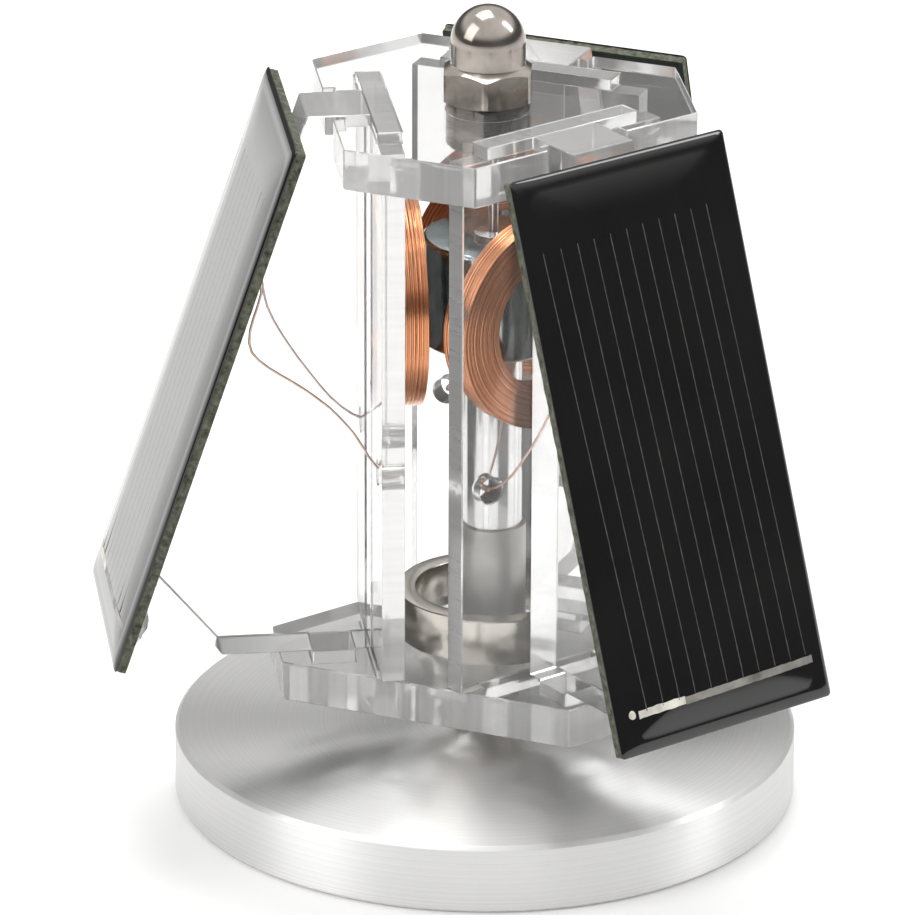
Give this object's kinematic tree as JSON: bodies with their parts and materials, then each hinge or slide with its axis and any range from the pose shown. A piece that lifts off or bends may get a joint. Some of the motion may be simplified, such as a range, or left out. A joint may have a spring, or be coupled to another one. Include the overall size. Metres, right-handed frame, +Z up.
{
  "type": "vertical solar motor",
  "caption": "Desk solar motor: a clear acrylic rotor with coils and slanted solar panels spins on a needle over a magnet and turned aluminium base.",
  "frame": {"origin": "on the spin axis, in the plane of the base disc's underside", "axes": "+Z up along the spin axis; -Y is the outward direction of panel a"},
  "size_m": [0.092, 0.0808, 0.0954],
  "materials": {
    "turned_aluminium": "face-turned, fine concentric rings, satin side",
    "matt_steel": "matt grey",
    "polished_steel": "polished",
    "dark_steel": "dark satin",
    "nut_steel": "polished with light handling marks",
    "magnet_nickel": "bright nickel plate",
    "ring_nickel": "nickel plate",
    "clear_acrylic": "laser-cut clear acrylic, polished edges",
    "clear_tape": "clear mounting tape, slightly milky",
    "ruby": "polished synthetic ruby",
    "copper_wire": "enamelled copper wire, glossy",
    "circuit_board": "cut glass-epoxy board edge, grey-green",
    "silicon": "dark silicon wafer",
    "black_resin": "glossy cast epoxy over a black face",
    "silver_contact": "printed silver lines and tinned bar",
    "solder": "solder"
  },
  "bodies": {
    "stand": {"base_disc": "turned_aluminium", "post_stud": "dark_steel", "lower_post": "matt_steel", "upper_rod": "polished_steel", "magnet": "magnet_nickel", "pivot_needle": "polished_steel"},
    "rotor": {"top_plate": "clear_acrylic", "bottom_plate": "clear_acrylic", "ballast_ring": "ring_nickel", "pivot_bush": "dark_steel", "pivot_jewel": "ruby", "cap_nut": "nut_steel", "coil_board_a": "clear_acrylic", "coil_board_b": "clear_acrylic", "coil_board_c": "clear_acrylic", "coil_a": "copper_wire", "coil_b": "copper_wire", "coil_c": "copper_wire", "fin_a": "clear_acrylic", "fin_b": "clear_acrylic", "fin_c": "clear_acrylic", "fin_tape_a": "clear_tape", "fin_tape_b": "clear_tape", "fin_tape_c": "clear_tape", "panel_board_a": "circuit_board", "panel_board_b": "circuit_board", "panel_board_c": "circuit_board", "solar_cell_a": "silicon", "solar_cell_b": "silicon", "solar_cell_c": "silicon", "resin_cover_a": "black_resin", "resin_cover_b": "black_resin", "resin_cover_c": "black_resin", "contact_grid_a": "silver_contact", "contact_grid_b": "silver_contact", "contact_grid_c": "silver_contact", "solder_pads_a": "solder", "solder_pads_b": "solder", "solder_pads_c": "solder", "coil_leads_a": "copper_wire", "coil_leads_b": "copper_wire", "coil_leads_c": "copper_wire", "lead_joints_a": "solder", "lead_joints_b": "solder", "lead_joints_c": "solder", "left_lead_a": "copper_wire", "left_lead_b": "copper_wire", "left_lead_c": "copper_wire", "right_lead_a": "copper_wire", "right_lead_b": "copper_wire", "right_lead_c": "copper_wire"}
  },
  "joints": [
    {"name": "rotor_spin", "type": "hinge", "parent": "stand", "child": "rotor", "pos_m": [0, 0, 0.07915], "axis": [0, 0, 1], "continuous": true}
  ]
}
